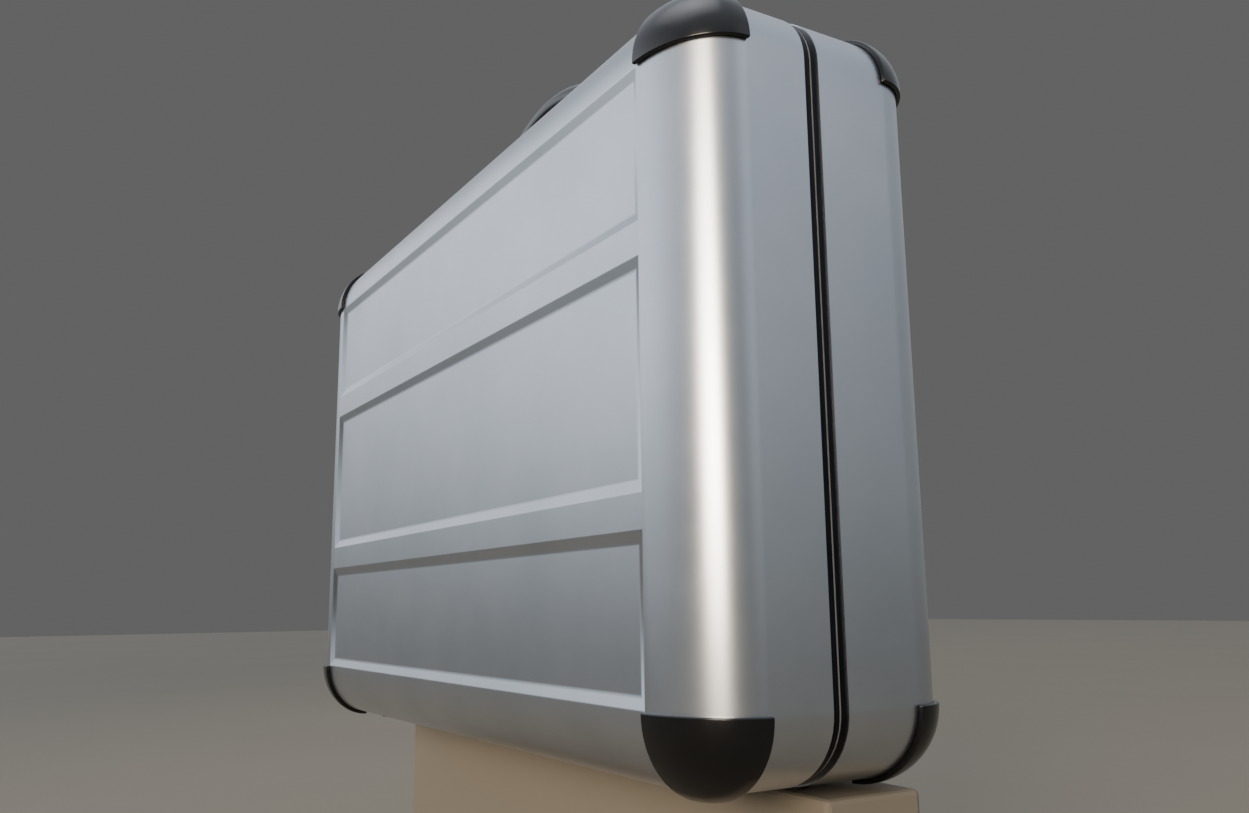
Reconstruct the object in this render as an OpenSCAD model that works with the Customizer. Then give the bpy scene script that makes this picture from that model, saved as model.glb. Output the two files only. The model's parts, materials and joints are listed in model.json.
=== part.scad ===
// Aluminium attache case: two pressed shells on a bottom hinge, framed at the parting line.
// X runs along the case, +Y points to the back and +Z up. The case stands on its feet at Z = 0,
// centred on X = 0 and Y = 0. The lid is the half in front of Y = 0, the base the half behind it.

/* [Case] */
// Width over the two end walls
case_w = 470; // [430:1:500]
// Height from the bottom wall to the top wall
case_h = 305; // [290:1:330]
// Depth of the lid, from the parting plane to its large face
lid_d = 57; // [52:0.5:62]
// Depth of the base, from the parting plane to its large face
base_d = 63; // [52:0.5:70]
// Reach of the rounded vertical edges along X
edge_x = 37.5; // [30:0.5:42]
// Reach of all the rounded edges along Y
edge_y = 26; // [22:0.5:28]
// Reach of the rounded top and bottom edges along Z
edge_z = 30; // [26:0.5:36]
// Thickness of the shells' sheet
wall = 1.6; // [1.2:0.1:2]
// Width of the dark band between the shells
band_w = 7; // [6:0.1:9]

/* [Panels] */
// Height of the upper and the lower recessed panel
side_panel_h = 63.4; // [50:0.1:70]
// Height of the two flat ribs between the panels
rib_h = 13.8; // [10:0.1:20]
// Depth of the recessed panels
panel_depth = 1.8; // [1:0.1:2.4]
// Width of the bevel round each panel
panel_bevel = 4.5; // [3:0.1:6]

/* [Corner guards] */
// Thickness of the corner guards
guard_t = 2.2; // [1.5:0.1:2.6]

/* [Handle] */
// Height of the handle's top above the case
handle_rise = 59; // [52:0.5:64]
// Thickness of the grip
grip_t = 13; // [11:0.5:15]
// Width of the grip
grip_w = 18; // [16:0.5:20]
// Place of the handle behind the parting plane
handle_y = 11.5; // [11.5:0.1:14]

/* [Latches] */
// Distance of each latch's middle from the case's middle
latch_x = 125; // [115:1:140]
// Length of a latch case
latch_l = 70; // [70:1:76]
// Height of a latch case
latch_h = 8; // [8:0.5:10]

/* [Hinges and feet] */
// Distance of each hinge's middle from the case's middle
hinge_x = 125; // [90:1:140]
// Height of the feet under the case
foot_h = 3.5; // [3.5:0.1:5]

/* [Lid stays] */
// Length of each stay link, and height of its pivot above the lid's hinge
stay_r = 100; // [80:1:110]

/* [Hidden] */
round_fn = 32;
fine_fn = 64;
steps = round_fn / 4;
// Brings a faceted ball's outer rings out to the full radius
full_ball = 1 / cos(180 / round_fn);
eps = 0.01;
gap = 0.3;

half_w = case_w / 2;
half_h = case_h / 2;
// Depth of the half that is being drawn
$deep = lid_d;
mid_z = foot_h + half_h;
top_z = foot_h + case_h;
field_w = case_w - 2 * edge_x;
field_h = case_h - 2 * edge_z;
parting = band_w / 2;
land = 0.3;

// frames, gasket and lining
lip_in = 0.6;
seal_half = 0.5;
seal_bead = 0.1;
flange_end = 14;
flange_in = 4.1;
line_out = 3.0;
line_in = 4.2;
line_face = 4.6;
line_t = 1.2;
line_round = [50, 32, 42];

// corner guards
guard_hole = 3.3;
boss_r = 3;
guard_screw_r = 1.4;
screw_reach = 0.45;
screw_seat = 12.2;

// hinges
hinge_l = 60;
knuckle_r = 2.6;
knuckle_l = 12;
hinge_pin_r = 1.25;
leaf_t = 1.2;
leaf_w = 20;
rivet_r = 1.5;
rivet_head_r = 2.6;
rivet_head_h = 1.2;
rivet_y = 9;
rivet_step = 20;

// handle
arc_r = 100;
corner_r = 24;
arc_half = 22.5;
pivot_h = 9;
eye_r = 5.5;
tang_t = 4;
tang_w = 10;
tang_deep = 4;
grip_step = 0.4;
grip_end = 17;
handle_pin_r = 2;
ear_t = 2.7;
bracket_l = 28;
bracket_w = 14.6;
bracket_t = 2;
bracket_screw_x = 10.5;
leg_x = (arc_r - corner_r) * sin(arc_half) + corner_r;
arc_z = top_z + handle_rise - grip_t / 2 - arc_r;
corner_z = arc_z + (arc_r - corner_r) * cos(arc_half);
pivot_z = top_z + pivot_h;

// latches: places along a latch are measured from its inner end, outwards
latch_y = [4.2, 24.2];
latch_start = latch_x - latch_l / 2;
dial_r = 4.7;
dial_flats = 10;
dial_turn = 180 / dial_flats;
dial_w = 3.4;
dial_step = 4.6;
dial_first = 7;
dial_y = 14.2;
dial_z = top_z + 5;
axle_r = 1;
button_pocket = [24, 36];
button_y = [9.5, 18.9];
button_l = 6.6;
hasp_span = [40, 66];
hasp_y = 13;
hasp_z = top_z + 5.2;
hasp_barrel_r = 2.4;
hasp_pin_r = 1.2;
hasp_t = 2;
hasp_reach = -15;
catch_y = [-16, -5];
catch_h = 3.6;

// lid stays
stay_half = 7;
stay_w = 9;
stay_bar = 7.6;
stay_t = 1.5;
stay_base_x = half_w - flange_in - 2.7;
stay_lid_x = stay_base_x - 2;
stay_pin_r = 2;
stay_z = foot_h + stay_r;

// feet
foot_x = 185;
foot_y = 18;
foot_r = 6;

// Quarter of an ellipse round [cx, cz], starting at quarter q
function quarter(cx, cz, a, c, q) =
    [for (i = [0:steps]) let (t = 90 * (q + i / steps)) [cx + a * cos(t), cz + c * sin(t)]];

// Outline of the case seen from the front, moved in by inset, with its own corner rounding
function outline(inset, ax, az) =
    let (x = half_w - inset - ax, z = half_h - inset - az)
    concat(quarter(x, z, ax, az, 0), quarter(-x, z, ax, az, 1),
           quarter(-x, -z, ax, az, 2), quarter(x, -z, ax, az, 3));

// Solid between two depths with the case's outline
module slab(y0, y1, inset, ax = edge_x, az = edge_z)
    translate([0, y1, mid_z]) rotate([90, 0, 0]) linear_extrude(y1 - y0)
        polygon(outline(inset, ax, az));

// Outline that keeps the case's own rounding when it moves in
module case_slab(y0, y1, inset) slab(y0, y1, inset, edge_x - inset, edge_z - inset);

// Ellipsoid that rounds one corner, with its centre where the three edges start to curve
module corner_ball(sx, sz, grow, rounding = [edge_x, edge_y, edge_z], inset = 0)
    translate([sx * (half_w - inset - rounding[0]), -($deep - inset - rounding[1]),
               mid_z + sz * (half_h - inset - rounding[2])])
        scale((rounding + [grow, grow, grow]) * full_ball) rotate([90, 0, 0])
            sphere(1, $fn = round_fn);

// Front half of the case as a convex solid that ends at depth y_end
module half_form(inset, y_end) hull() {
    for (sx = [-1, 1], sz = [-1, 1]) corner_ball(sx, sz, -inset);
    case_slab(edge_y - $deep, y_end, inset);
    translate([-field_w / 2, inset - $deep, mid_z - field_h / 2]) cube([field_w, 1, field_h]);
}

// Lower and upper edge of each recessed panel, from the middle of the case
function panel_spans() = let (h = field_h / 2 - land, m = h - side_panel_h)
    [[-h, -m], [rib_h - m, m - rib_h], [m, h]];

// One recess with mitred bevels, cut into the front face
module panel_recess(span) {
    out = 0.5;
    flare = panel_bevel * out / panel_depth;
    y0 = -$deep - out;
    y1 = -$deep + panel_depth;
    x0 = field_w / 2 - land + flare;
    x1 = field_w / 2 - land - panel_bevel;
    z0 = mid_z + span[0];
    z1 = mid_z + span[1];
    intersection() {
        translate([0, 0, z0 - 1]) linear_extrude(z1 - z0 + 2)
            polygon([[-x0, y0], [x0, y0], [x1, y1], [-x1, y1]]);
        translate([-x0, 0, 0]) rotate([90, 0, 90]) linear_extrude(2 * x0)
            polygon([[y0, z0 - flare], [y1, z0 + panel_bevel], [y1, z1 - panel_bevel],
                     [y0, z1 + flare]]);
    }
}

// Centre of the guard screw of one corner, in X and Z
function guard_xz(sx, sz) = [sx * (half_w - edge_x * (1 - screw_reach)),
                             mid_z + sz * (half_h - edge_z * (1 - screw_reach))];

module y_cylinder(x, y0, y1, z, r, fn = fine_fn)
    translate([x, y1, z]) rotate([90, 0, 0]) cylinder(h = y1 - y0, r = r, $fn = fn);

module x_cylinder(x0, x1, y, z, r, fn = fine_fn)
    translate([x0, y, z]) rotate([0, 90, 0]) cylinder(h = x1 - x0, r = r, $fn = fn);

module z_cylinder(x, y, z0, z1, r, fn = fine_fn)
    translate([x, y, z0]) cylinder(h = z1 - z0, r = r, $fn = fn);

module box(x, y, z)
    translate([x[0], y[0], z[0]]) cube([x[1] - x[0], y[1] - y[0], z[1] - z[0]]);

// ---- shells ----

module shell_front() difference() {
    union() {
        difference() {
            half_form(0, -parting);
            half_form(wall, 1);
        }
        for (s = panel_spans())
            box([-field_w / 2, field_w / 2], [wall - $deep - 0.2, wall - $deep + panel_depth],
                [mid_z + s[0], mid_z + s[1]]);
    }
    for (s = panel_spans()) panel_recess(s);
    for (sx = [-1, 1], sz = [-1, 1])
        y_cylinder(guard_xz(sx, sz)[0], -$deep, edge_y - $deep, guard_xz(sx, sz)[1], guard_hole);
    for (sx = [-1, 1]) {
        z_cylinder(sx * foot_x, -foot_y, 0, foot_h + 2 * wall, foot_r / 2 + 0.05);
        for (i = [-1:1]) z_cylinder(sx * hinge_x + i * rivet_step, -rivet_y, 0, foot_h + 2 * wall,
                                    rivet_r + 0.05);
    }
}

// Places of the screws that hold the latch cases, from the inner end of a latch
function latch_screw_places() = [21.5, 38];

module lid_shell() color("#c3c8cc") difference() {
    shell_front();
    for (sx = [-1, 1], k = [-1, 1])
        z_cylinder(sx * catch_mid() + k * 8, -rivet_y - 1, top_z - 3, top_z + 1, rivet_r + 0.05);
}

module base_shell() color("#c3c8cc") difference() {
    mirror([0, 1, 0]) shell_front($deep = base_d);
    for (sx = [-1, 1]) {
        for (k = [-1, 1])
            z_cylinder(sx * leg_x + k * bracket_screw_x, handle_y, top_z - 3, top_z + 1,
                       rivet_r + 0.05);
        for (p = latch_screw_places())
            z_cylinder(sx * (latch_start + p), rivet_y, top_z - 3, top_z + 1, rivet_r + 0.05);
    }
}

// ---- frames and gasket ----

// Ring of frame on the lid side of the parting plane
module frame_front() difference() {
    union() {
        case_slab(-parting, -seal_half, lip_in);
        case_slab(-flange_end, -parting, wall + 0.05);
    }
    slab(-flange_end - 1, 1, flange_in, line_round[0], line_round[2]);
    for (sx = [-1, 1]) {
        x_cylinder(sx * hinge_x - hinge_l / 2 - 0.5, sx * hinge_x + hinge_l / 2 + 0.5, 0, foot_h,
                   knuckle_r + gap);
        for (i = [-1:1]) z_cylinder(sx * hinge_x + i * rivet_step, -rivet_y, 0, foot_h + 6,
                                    rivet_r + 0.05);
    }
}

module lid_frame() color("#1d1e20") difference() {
    frame_front();
    for (sx = [-1, 1], k = [-1, 1])
        z_cylinder(sx * catch_mid() + k * 8, -rivet_y - 1, top_z - 6, top_z + 1, rivet_r + 0.05);
}

module base_frame() color("#1d1e20") difference() {
    mirror([0, 1, 0]) frame_front();
    difference() {
        case_slab(0, seal_half + 1.1, lip_in + 0.4);
        case_slab(-1, seal_half + 2, lip_in + 2.7);
    }
    for (sx = [-1, 1]) {
        for (k = [-1, 1])
            z_cylinder(sx * leg_x + k * bracket_screw_x, handle_y, top_z - 6, top_z + 1,
                       rivet_r + 0.05);
        for (p = latch_screw_places())
            z_cylinder(sx * (latch_start + p), rivet_y, top_z - 6, top_z + 1, rivet_r + 0.05);
    }
}

// Rubber strip pressed into the base frame's groove, with a bead that fills the gap between the lips
module gasket() color("#6a6b6e") difference() {
    union() {
        case_slab(gap - seal_half, seal_half + 1.1, lip_in + 0.4 + eps);
        case_slab(gap - seal_half, seal_half - eps, lip_in + seal_bead);
    }
    case_slab(-1, seal_half + 2, lip_in + 2.7 - eps);
    for (sx = [-1, 1])
        x_cylinder(sx * hinge_x - hinge_l / 2 - 0.5, sx * hinge_x + hinge_l / 2 + 0.5, 0, foot_h,
                   knuckle_r + gap);
}

// ---- linings and pockets ----

module lining_form(inset, face, y_end) hull() {
    for (sx = [-1, 1], sz = [-1, 1])
        translate([sx * (half_w - line_out - line_round[0]), line_round[1] - $deep + line_face,
                   mid_z + sz * (half_h - line_out - line_round[2])])
            scale(line_round - [inset, face, inset]) rotate([90, 0, 0])
                sphere(1, $fn = round_fn);
    slab(line_round[1] - $deep + line_face, y_end, line_out + inset, line_round[0] - inset,
         line_round[2] - inset);
}

module lining_front() difference() {
    lining_form(0, 0, -flange_end - gap);
    lining_form(line_t, line_t, 0);
    box([-half_w, half_w], [-flange_end - gap, $deep], [0, top_z]);
}

module lid_lining() color("#2b2c31") lining_front();

module base_lining() color("#2b2c31") mirror([0, 1, 0]) lining_front($deep = base_d);

// Flat fabric pocket sewn on the lid's lining
module document_pocket() color("#232428")
    box([-175, 175], [pocket_y(), pocket_y() + 2.4], [mid_z - 100, mid_z + 55]);

function pocket_y() = line_face + line_t + gap - lid_d;

// Three elastic loops for pens, flat when empty
module pen_loops() color("#18181a") for (i = [-1:1])
    box([i * 26 - 8, i * 26 + 8], [pocket_y(), pocket_y() + 3], [mid_z + 72, mid_z + 92]);

// ---- corner guards ----

module guard_front(sx, sz) {
    cx = half_w - edge_x;
    cz = half_h - edge_z;
    q = guard_xz(sx, sz);
    difference() {
        union() {
            intersection() {
                difference() {
                    hull() corner_ball(sx, sz, guard_t);
                    hull() corner_ball(sx, sz, 0.1);
                }
                box(sx > 0 ? [cx, half_w + 5] : [-half_w - 5, -cx],
                    [-$deep - 5, edge_y - $deep],
                    sz > 0 ? [mid_z + cz, top_z + 5] : [-5, mid_z - cz]);
            }
            y_cylinder(q[0], edge_y * 0.3 - $deep, screw_seat - $deep, q[1], boss_r);
        }
        y_cylinder(q[0], edge_y * 0.34 - $deep, 0, q[1], guard_screw_r);
    }
}

module corner_guard(sy, sz, sx) color("#141416")
    mirror([0, sy > 0 ? 1 : 0, 0]) guard_front(sx, sz, $deep = sy > 0 ? base_d : lid_d);

// Flanged screws that hold the guards from inside the shell
module guard_screws_front() for (sx = [-1, 1], sz = [-1, 1]) {
    q = guard_xz(sx, sz);
    y = screw_seat - $deep;
    y_cylinder(q[0], y + eps, y + 1.2, q[1], 4.6);
    y_cylinder(q[0], y + 1.1, y + 2.6, q[1], 2.6);
    y_cylinder(q[0], edge_y * 0.36 - $deep, y + 0.5, q[1], guard_screw_r);
}

module guard_screws_lid() color("#9a9ca0") guard_screws_front();

module guard_screws_base() color("#9a9ca0")
    mirror([0, 1, 0]) guard_screws_front($deep = base_d);

// ---- hinges ----

// Leaf behind the parting plane; its knuckles are the odd ones or the even ones of five
module hinge_leaf(x, first, count, bore_r) difference() {
    union() {
        box([x - hinge_l / 2, x + hinge_l / 2], [knuckle_r + gap, leaf_w],
            [foot_h - leaf_t, foot_h]);
        for (i = [0:count - 1]) {
            x0 = x - hinge_l / 2 + (first + 2 * i) * knuckle_l + 0.1;
            x1 = x0 + knuckle_l - 0.2;
            x_cylinder(x0, x1, 0, foot_h, knuckle_r);
            box([x0, x1], [0, knuckle_r + gap + 1], [foot_h - leaf_t, foot_h]);
        }
    }
    x_cylinder(x - hinge_l, x + hinge_l, 0, foot_h, bore_r);
    for (i = [-1:1]) z_cylinder(x + i * rivet_step, rivet_y, 0, foot_h + 1, rivet_r + 0.05);
}

module base_leaf(sx) color("#b9bcc0") hinge_leaf(sx * hinge_x, 0, 3, hinge_pin_r + 0.02);

module lid_leaf(sx) color("#b9bcc0") mirror([0, 1, 0])
    hinge_leaf(sx * hinge_x, 1, 2, hinge_pin_r + 0.05);

module hinge_pins() color("#8d9094") for (sx = [-1, 1])
    x_cylinder(sx * hinge_x - hinge_l / 2 - 0.4, sx * hinge_x + hinge_l / 2 + 0.4, 0, foot_h,
               hinge_pin_r);

// Rivet along Z with a round head at its lower and its upper end
module rivet(x, y, z0, z1) {
    z_cylinder(x, y, z0 - eps, z1 + eps, rivet_r);
    z_cylinder(x, y, z0 - rivet_head_h, z0 - eps, rivet_head_r);
    z_cylinder(x, y, z1 + eps, z1 + rivet_head_h, rivet_head_r);
}

module hinge_rivets() for (sx = [-1, 1], i = [-1:1])
    rivet(sx * hinge_x + i * rivet_step, rivet_y, foot_h - leaf_t, foot_h + flange_in);

module base_rivets() color("#a9acb0") hinge_rivets();

module lid_rivets() color("#a9acb0") {
    mirror([0, 1, 0]) hinge_rivets();
    for (sx = [-1, 1], k = [-1, 1])
        rivet(sx * catch_mid() + k * 8, -rivet_y - 1, top_z - flange_in, top_z + 1.2);
}

// ---- feet ----

// Press-in rubber feet with a head inside the bottom wall
module feet(sy) color("#202022") for (sx = [-1, 1]) {
    z_cylinder(sx * foot_x, sy * foot_y, 0, foot_h - eps, foot_r);
    z_cylinder(sx * foot_x, sy * foot_y, foot_h - 1, foot_h + wall + 0.5, foot_r / 2);
    z_cylinder(sx * foot_x, sy * foot_y, foot_h + wall + eps, foot_h + wall + 1.2, foot_r * 0.6);
}

// ---- handle ----

// Section of the grip, across its centre line; the width lies along the second axis
module grip_section(t, w) {
    for (s = [-1, 1]) translate([0, s * (w - t) / 2]) circle(t / 2, $fn = fine_fn);
    translate([-t / 2, (t - w) / 2]) square([t, w - t]);
}

// Turns a section round a centre in the handle's plane, between two angles from the X axis
module bend(x, z, r, a0, a1)
    translate([x, handle_y, z]) rotate([90, 0, 0]) rotate([0, 0, a0])
        rotate_extrude(angle = a1 - a0, $fn = 2 * fine_fn) translate([r, 0]) children();

module leg(sx, z0, z1)
    translate([sx * leg_x, handle_y, z0]) linear_extrude(z1 - z0) children();

// Bowed grip: a flat arc, two tight corners and two legs, each fitting into the one above
module handle_grip() color("#101012") difference() {
    union() {
        bend(0, arc_z, arc_r, 90 - arc_half, 90 + arc_half) grip_section(grip_t, grip_w);
        for (sx = [-1, 1]) {
            a = sx > 0 ? 0 : 90 + arc_half - 2;
            bend(sx * (leg_x - corner_r), corner_z, corner_r, a, a + 92 - arc_half)
                grip_section(grip_t - grip_step, grip_w - grip_step);
            leg(sx, top_z + grip_end, corner_z + 0.7)
                grip_section(grip_t - 2 * grip_step, grip_w - 2 * grip_step);
        }
    }
    for (sx = [-1, 1])
        leg(sx, top_z + grip_end - 1, top_z + grip_end + tang_deep)
            square([tang_t + 0.04, tang_w + 0.04], center = true);
}

// Steel tang held in a socket in one end of the grip, with an eye for the pivot pin
module handle_tang(sx) color("#8f9296") difference() {
    union() {
        leg(sx, pivot_z, top_z + grip_end + tang_deep - 0.1)
            square([tang_t, tang_w], center = true);
        x_cylinder(sx * leg_x - tang_t / 2, sx * leg_x + tang_t / 2, handle_y, pivot_z, eye_r);
    }
    x_cylinder(sx * leg_x - tang_t, sx * leg_x + tang_t, handle_y, pivot_z, handle_pin_r + 0.05);
}

module handle_bracket(sx) color("#b4b7bb") {
    x = sx * leg_x;
    difference() {
        union() {
            box([x - bracket_l / 2, x + bracket_l / 2],
                [handle_y - bracket_w / 2, handle_y + bracket_w / 2],
                [top_z, top_z + bracket_t]);
            for (s = [0, 1]) {
                x0 = x + (s == 0 ? tang_t / 2 + gap : -tang_t / 2 - gap - ear_t);
                x_cylinder(x0, x0 + ear_t, handle_y, pivot_z, eye_r);
                box([x0, x0 + ear_t], [handle_y - eye_r, handle_y + eye_r],
                    [top_z + bracket_t - 0.5, pivot_z]);
            }
        }
        x_cylinder(x - bracket_l, x + bracket_l, handle_y, pivot_z, handle_pin_r + 0.02);
        for (k = [-1, 1]) z_cylinder(x + k * bracket_screw_x, handle_y, top_z - 1, top_z + 3,
                                     rivet_r + 0.05);
    }
}

module handle_pins() color("#8d9094") for (sx = [-1, 1]) {
    r = tang_t / 2 + gap + ear_t;
    x_cylinder(sx * leg_x - r - 0.2, sx * leg_x + r + 0.2, handle_y, pivot_z, handle_pin_r);
    for (k = [-1, 1]) {
        x = sx * leg_x + k * (r + 0.6);
        x_cylinder(x - 0.55, x + 0.55, handle_y, pivot_z, handle_pin_r + 1);
    }
}

module bracket_screws() color("#a9acb0") for (sx = [-1, 1], k = [-1, 1])
    rivet(sx * leg_x + k * bracket_screw_x, handle_y, top_z - flange_in, top_z + bracket_t);

// ---- latches ----

// Draws the right-hand latch's piece, or its mirror image on the left
module on_side(sx) mirror([sx < 0 ? 1 : 0, 0, 0]) children();

function span_x(s) = [latch_start + s[0], latch_start + s[1]];

function catch_mid() = latch_start + (hasp_span[0] + hasp_span[1]) / 2;

function dial_x(i) = latch_start + dial_first + i * dial_step;

module latch_case(sx) color("#b4b7bb") on_side(sx) difference() {
    box([latch_start, latch_start + latch_l], latch_y, [top_z, top_z + latch_h]);
    box([dial_x(0) - dial_w / 2 - gap, dial_x(2) + dial_w / 2 + gap],
        [dial_y - dial_r - 0.4, dial_y + dial_r + 0.4], [top_z - 1, top_z + latch_h + 1]);
    x_cylinder(latch_start + 2, dial_x(2) + dial_w / 2 + 3, dial_y, dial_z, axle_r + 0.02);
    box(span_x(button_pocket), button_y, [top_z + 1, top_z + latch_h + 1]);
    box(span_x([hasp_span[0] - gap, hasp_span[1] + gap]), [latch_y[0] - 1, hasp_y + 4],
        [top_z + 1, top_z + latch_h + 1]);
    x_cylinder(span_x(hasp_span)[0] - 2.5, span_x(hasp_span)[1] + 2.5, hasp_y, hasp_z,
               hasp_pin_r + 0.02);
    for (p = latch_screw_places())
        z_cylinder(latch_start + p, rivet_y, top_z - 1, top_z + 4.5, 1.25);
}

// Flap that swings up from the latch case and reaches over the parting band to the catch
module latch_hasp(sx) color("#c9ccd0") on_side(sx) difference() {
    x = span_x(hasp_span);
    union() {
        x_cylinder(x[0], x[1], hasp_y, hasp_z, hasp_barrel_r);
        box(x, [hasp_reach, hasp_y], [hasp_z, hasp_z + hasp_t]);
        box(x, [hasp_reach - 2.4, hasp_reach + eps], [top_z + catch_h + 0.5, hasp_z + hasp_t]);
    }
    x_cylinder(x[0] - 1, x[1] + 1, hasp_y, hasp_z, hasp_pin_r + 0.05);
}

module hasp_pins() color("#8d9094") for (sx = [-1, 1]) on_side(sx)
    x_cylinder(span_x(hasp_span)[0] - 2.4, span_x(hasp_span)[1] + 2.4, hasp_y, hasp_z, hasp_pin_r);

module latch_button(sx) color("#c9ccd0") on_side(sx) {
    x0 = span_x(button_pocket)[0] + gap;
    box([x0, x0 + button_l], [button_y[0] + gap, button_y[1] - gap],
        [top_z + 1 + gap, top_z + latch_h - 0.6]);
    box([x0 + 0.5, x0 + button_l - 0.5], [button_y[0] + 1, button_y[1] - 1],
        [top_z + latch_h - 1, top_z + latch_h + 2]);
    for (i = [0:2]) box([x0 + 1.2 + 1.8 * i, x0 + 1.9 + 1.8 * i],
                        [button_y[0] + 1, button_y[1] - 1],
                        [top_z + latch_h + 1, top_z + latch_h + 2.5]);
}

// Number wheel with ten flats and a turning bore
module dial(sx, i) color("#d2d4d6") on_side(sx) difference() {
    intersection() {
        x_cylinder(dial_x(i) - dial_w / 2, dial_x(i) + dial_w / 2, dial_y, dial_z, dial_r);
        translate([dial_x(i) - dial_w, dial_y, dial_z]) rotate([dial_turn, 0, 0])
            rotate([0, 90, 0]) cylinder(h = 2 * dial_w, r = dial_r * 1.03, $fn = dial_flats);
    }
    x_cylinder(dial_x(i) - dial_w, dial_x(i) + dial_w, dial_y, dial_z, axle_r + 0.05);
}

module dial_axles() color("#8d9094") for (sx = [-1, 1]) on_side(sx)
    x_cylinder(latch_start + 2.1, dial_x(2) + dial_w / 2 + 2.9, dial_y, dial_z, axle_r);

// Screws that hold the latch cases from inside the base
module latch_screws() color("#a9acb0") for (sx = [-1, 1], p = latch_screw_places()) on_side(sx) {
    z = top_z - flange_in;
    z_cylinder(latch_start + p, rivet_y, z - 1.6, z - eps, rivet_head_r);
    z_cylinder(latch_start + p, rivet_y, z - 1, top_z + 4, 1.25 - eps);
}

// Plate on the lid that the hasp closes over
module catch_plate(sx) color("#b4b7bb") on_side(sx) difference() {
    union() {
        box([catch_mid() - 12, catch_mid() + 12], [catch_y[0], catch_y[1]], [top_z, top_z + 1.2]);
        box([catch_mid() - 4.5, catch_mid() + 4.5], [catch_y[0] + 1.5, catch_y[1]],
            [top_z + 1, top_z + catch_h]);
    }
    for (k = [-1, 1]) z_cylinder(catch_mid() + k * 8, -rivet_y - 1, top_z - 1, top_z + 2,
                                 rivet_r + 0.05);
}

// ---- lid stays ----

// Flat link between two points [y, z] in the plane that starts at x
module stay_link(x, a, b, hole_a, hole_b) {
    d = b - a;
    difference() {
        union() {
            for (p = [a, b]) x_cylinder(x, x + stay_t, p[0], p[1], stay_w / 2);
            translate([x, a[0], a[1]]) rotate([atan2(d[1], d[0]), 0, 0])
                translate([0, 0, -stay_bar / 2]) cube([stay_t, norm(d), stay_bar]);
        }
        x_cylinder(x - 1, x + stay_t + 1, a[0], a[1], hole_a);
        x_cylinder(x - 1, x + stay_t + 1, b[0], b[1], hole_b);
    }
}

module stay_base_link(sx) color("#9ea1a5") on_side(sx)
    stay_link(stay_base_x, [stay_half, stay_z], [0, stay_z + stay_r], stay_pin_r + 0.05,
              stay_pin_r + gap);

module stay_lid_link(sx) color("#9ea1a5") on_side(sx)
    stay_link(stay_lid_x, [-stay_half, stay_z], [0, stay_z + stay_r], stay_pin_r + 0.05,
              stay_pin_r + 0.02);

// Rivet that joins the two links of a stay at their elbow
module stay_elbow(sx) color("#a9acb0") on_side(sx) {
    x_cylinder(stay_lid_x - 0.1, stay_base_x + stay_t + 0.1, 0, stay_z + stay_r, stay_pin_r);
    x_cylinder(stay_lid_x - 1.1, stay_lid_x - 0.05, 0, stay_z + stay_r, stay_pin_r + 1.2);
}

// Stud on a frame with a head that keeps its link on
module stay_stud(x, y) {
    face = half_w - flange_in;
    x_cylinder(x - 0.2, face - eps, y, stay_z, stay_pin_r);
    x_cylinder(x - 1.2, x - 0.15, y, stay_z, stay_pin_r + 1.2);
    x_cylinder(x + stay_t + 0.2, face - eps, y, stay_z, stay_pin_r + 1.2);
}

module stay_studs_base() color("#a9acb0") for (sx = [-1, 1]) on_side(sx)
    stay_stud(stay_base_x, stay_half);

module stay_studs_lid() color("#a9acb0") for (sx = [-1, 1]) on_side(sx)
    stay_stud(stay_lid_x, -stay_half);

base_shell();
lid_shell();
base_frame();
lid_frame();
gasket();
base_lining();
lid_lining();
corner_guard(1, 1, -1);  // guard_base_top_left
corner_guard(1, 1, 1);  // guard_base_top_right
corner_guard(1, -1, -1);  // guard_base_bottom_left
corner_guard(1, -1, 1);  // guard_base_bottom_right
corner_guard(-1, 1, -1);  // guard_lid_top_left
corner_guard(-1, 1, 1);  // guard_lid_top_right
corner_guard(-1, -1, -1);  // guard_lid_bottom_left
corner_guard(-1, -1, 1);  // guard_lid_bottom_right
guard_screws_base();
guard_screws_lid();
base_leaf(-1);  // hinge_leaf_base_left
base_leaf(1);  // hinge_leaf_base_right
lid_leaf(-1);  // hinge_leaf_lid_left
lid_leaf(1);  // hinge_leaf_lid_right
hinge_pins();
base_rivets();
lid_rivets();
feet(1);  // feet_base
feet(-1);  // feet_lid
handle_grip();
handle_tang(-1);  // handle_tang_left
handle_tang(1);  // handle_tang_right
handle_bracket(-1);  // handle_bracket_left
handle_bracket(1);  // handle_bracket_right
handle_pins();
bracket_screws();
latch_case(-1);  // latch_case_left
latch_case(1);  // latch_case_right
latch_hasp(-1);  // latch_hasp_left
latch_hasp(1);  // latch_hasp_right
hasp_pins();
latch_button(-1);  // latch_button_left
latch_button(1);  // latch_button_right
dial(-1, 0);  // dial_left_1
dial(-1, 1);  // dial_left_2
dial(-1, 2);  // dial_left_3
dial(1, 0);  // dial_right_1
dial(1, 1);  // dial_right_2
dial(1, 2);  // dial_right_3
dial_axles();
latch_screws();
catch_plate(-1);  // catch_plate_left
catch_plate(1);  // catch_plate_right
stay_base_link(-1);  // stay_base_link_left
stay_base_link(1);  // stay_base_link_right
stay_lid_link(-1);  // stay_lid_link_left
stay_lid_link(1);  // stay_lid_link_right
stay_elbow(-1);  // stay_elbow_left
stay_elbow(1);  // stay_elbow_right
stay_studs_base();
stay_studs_lid();
document_pocket();
pen_loops();
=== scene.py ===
import json
import math

import bmesh
import bpy
from mathutils import Matrix, Vector


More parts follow.
